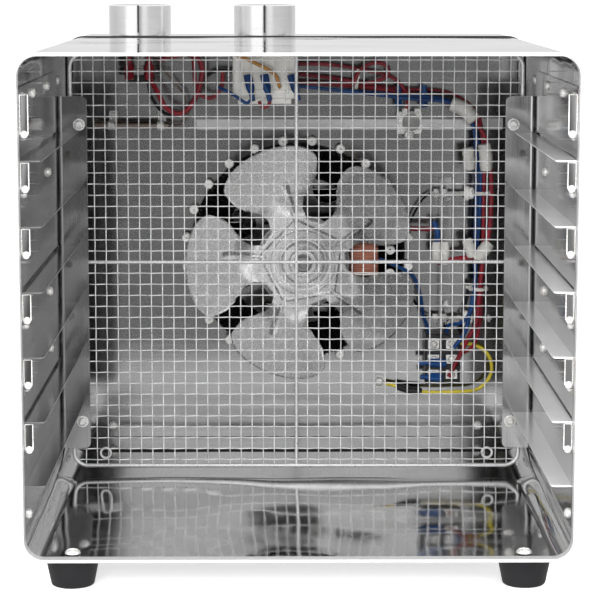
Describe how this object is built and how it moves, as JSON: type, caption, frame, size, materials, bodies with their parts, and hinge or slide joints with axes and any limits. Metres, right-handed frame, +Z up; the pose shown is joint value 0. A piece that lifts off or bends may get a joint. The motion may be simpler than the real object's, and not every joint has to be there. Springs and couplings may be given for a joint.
{
  "type": "food dehydrator",
  "caption": "Cabinet food dehydrator with an open front, side tray racks, a wire guard over a rear fan and ring heater, and control knobs on top.",
  "frame": {"origin": "on the standing surface, under the middle of the cabinet's box", "axes": "+Z up, +Y from the open front to the back, +X to the right seen from the front"},
  "size_m": [0.3414, 0.435, 0.3523],
  "materials": {
    "cabinet_steel": "polished, fine straight grain",
    "guard_wire": "bright drawn wire",
    "screw_steel": "bright plated",
    "knob_steel": "turned and brushed",
    "fan_aluminium": "satin, stamped",
    "bracket_aluminium": "die cast",
    "lamination_steel": "stacked laminations",
    "winding_copper": "varnished winding under tape",
    "heater_wire": "oxidised resistance wire",
    "ceramic_bead": "unglazed white",
    "timer_plastic": "moulded",
    "black_plastic": "moulded",
    "bulb_copper": "drawn copper",
    "foot_rubber": "matte moulded",
    "seal_rubber": "matte extruded",
    "wire_red": "insulated wire",
    "wire_blue": "insulated wire",
    "wire_black": "insulated wire",
    "wire_orange": "insulated wire",
    "wire_yellow": "insulated wire"
  },
  "bodies": {
    "root": {"outer_case": "cabinet_steel", "rear_cover": "cabinet_steel", "case_gasket": "seal_rubber", "inner_back_panel": "cabinet_steel", "control_ledge": "cabinet_steel", "rack_right": "cabinet_steel", "rack_left": "cabinet_steel", "foot_front_left": "foot_rubber", "foot_screw_front_left": "screw_steel", "foot_front_right": "foot_rubber", "foot_screw_front_right": "screw_steel", "foot_rear_left": "foot_rubber", "foot_screw_rear_left": "screw_steel", "foot_rear_right": "foot_rubber", "foot_screw_rear_right": "screw_steel", "fan_guard": "guard_wire", "guard_screw_left_lower": "screw_steel", "guard_screw_left_upper": "screw_steel", "guard_screw_right_lower": "screw_steel", "guard_screw_right_upper": "screw_steel", "motor_stator": "lamination_steel", "motor_winding": "winding_copper", "motor_bracket_front": "bracket_aluminium", "motor_bracket_rear": "bracket_aluminium", "bearing_front": "screw_steel", "bearing_rear": "screw_steel", "motor_bolt_upper": "screw_steel", "motor_bolt_lower": "screw_steel", "heater_frame": "ceramic_bead", "heater_coil": "heater_wire", "heater_bracket": "cabinet_steel", "heater_stud_lower": "screw_steel", "stud_insulator_lower": "ceramic_bead", "heater_stud_upper": "screw_steel", "stud_insulator_upper": "ceramic_bead", "timer_body": "timer_plastic", "thermostat_body": "black_plastic", "thermostat_bulb": "bulb_copper", "thermal_cutout": "black_plastic", "terminal_block": "black_plastic", "power_inlet": "black_plastic", "earth_screw": "screw_steel", "wire_mains_red": "wire_red", "wire_mains_blue": "wire_blue", "wire_thermostat_black": "wire_black", "wire_timer_orange": "wire_orange", "wire_motor_lead": "wire_blue", "wire_cutout_red": "wire_red", "wire_earth_yellow": "wire_yellow"},
    "fan": {"fan_impeller": "fan_aluminium", "hub_nut": "screw_steel", "motor_shaft": "screw_steel", "motor_rotor": "lamination_steel"},
    "timer_dial": {"timer_knob": "knob_steel", "timer_spindle": "screw_steel"},
    "thermostat_dial": {"thermostat_knob": "knob_steel", "thermostat_spindle": "screw_steel"}
  },
  "joints": [
    {"name": "fan_spin", "type": "hinge", "parent": "root", "child": "fan", "pos_m": [0.005, 0.086, 0.166], "axis": [0, 1, 0], "continuous": true},
    {"name": "timer_turn", "type": "hinge", "parent": "root", "child": "timer_dial", "pos_m": [-0.023, 0.146, 0.33], "axis": [0, 0, -1], "range_deg": [0, 330]},
    {"name": "thermostat_turn", "type": "hinge", "parent": "root", "child": "thermostat_dial", "pos_m": [-0.116, 0.146, 0.33], "axis": [0, 0, -1], "range_deg": [0, 300]}
  ]
}
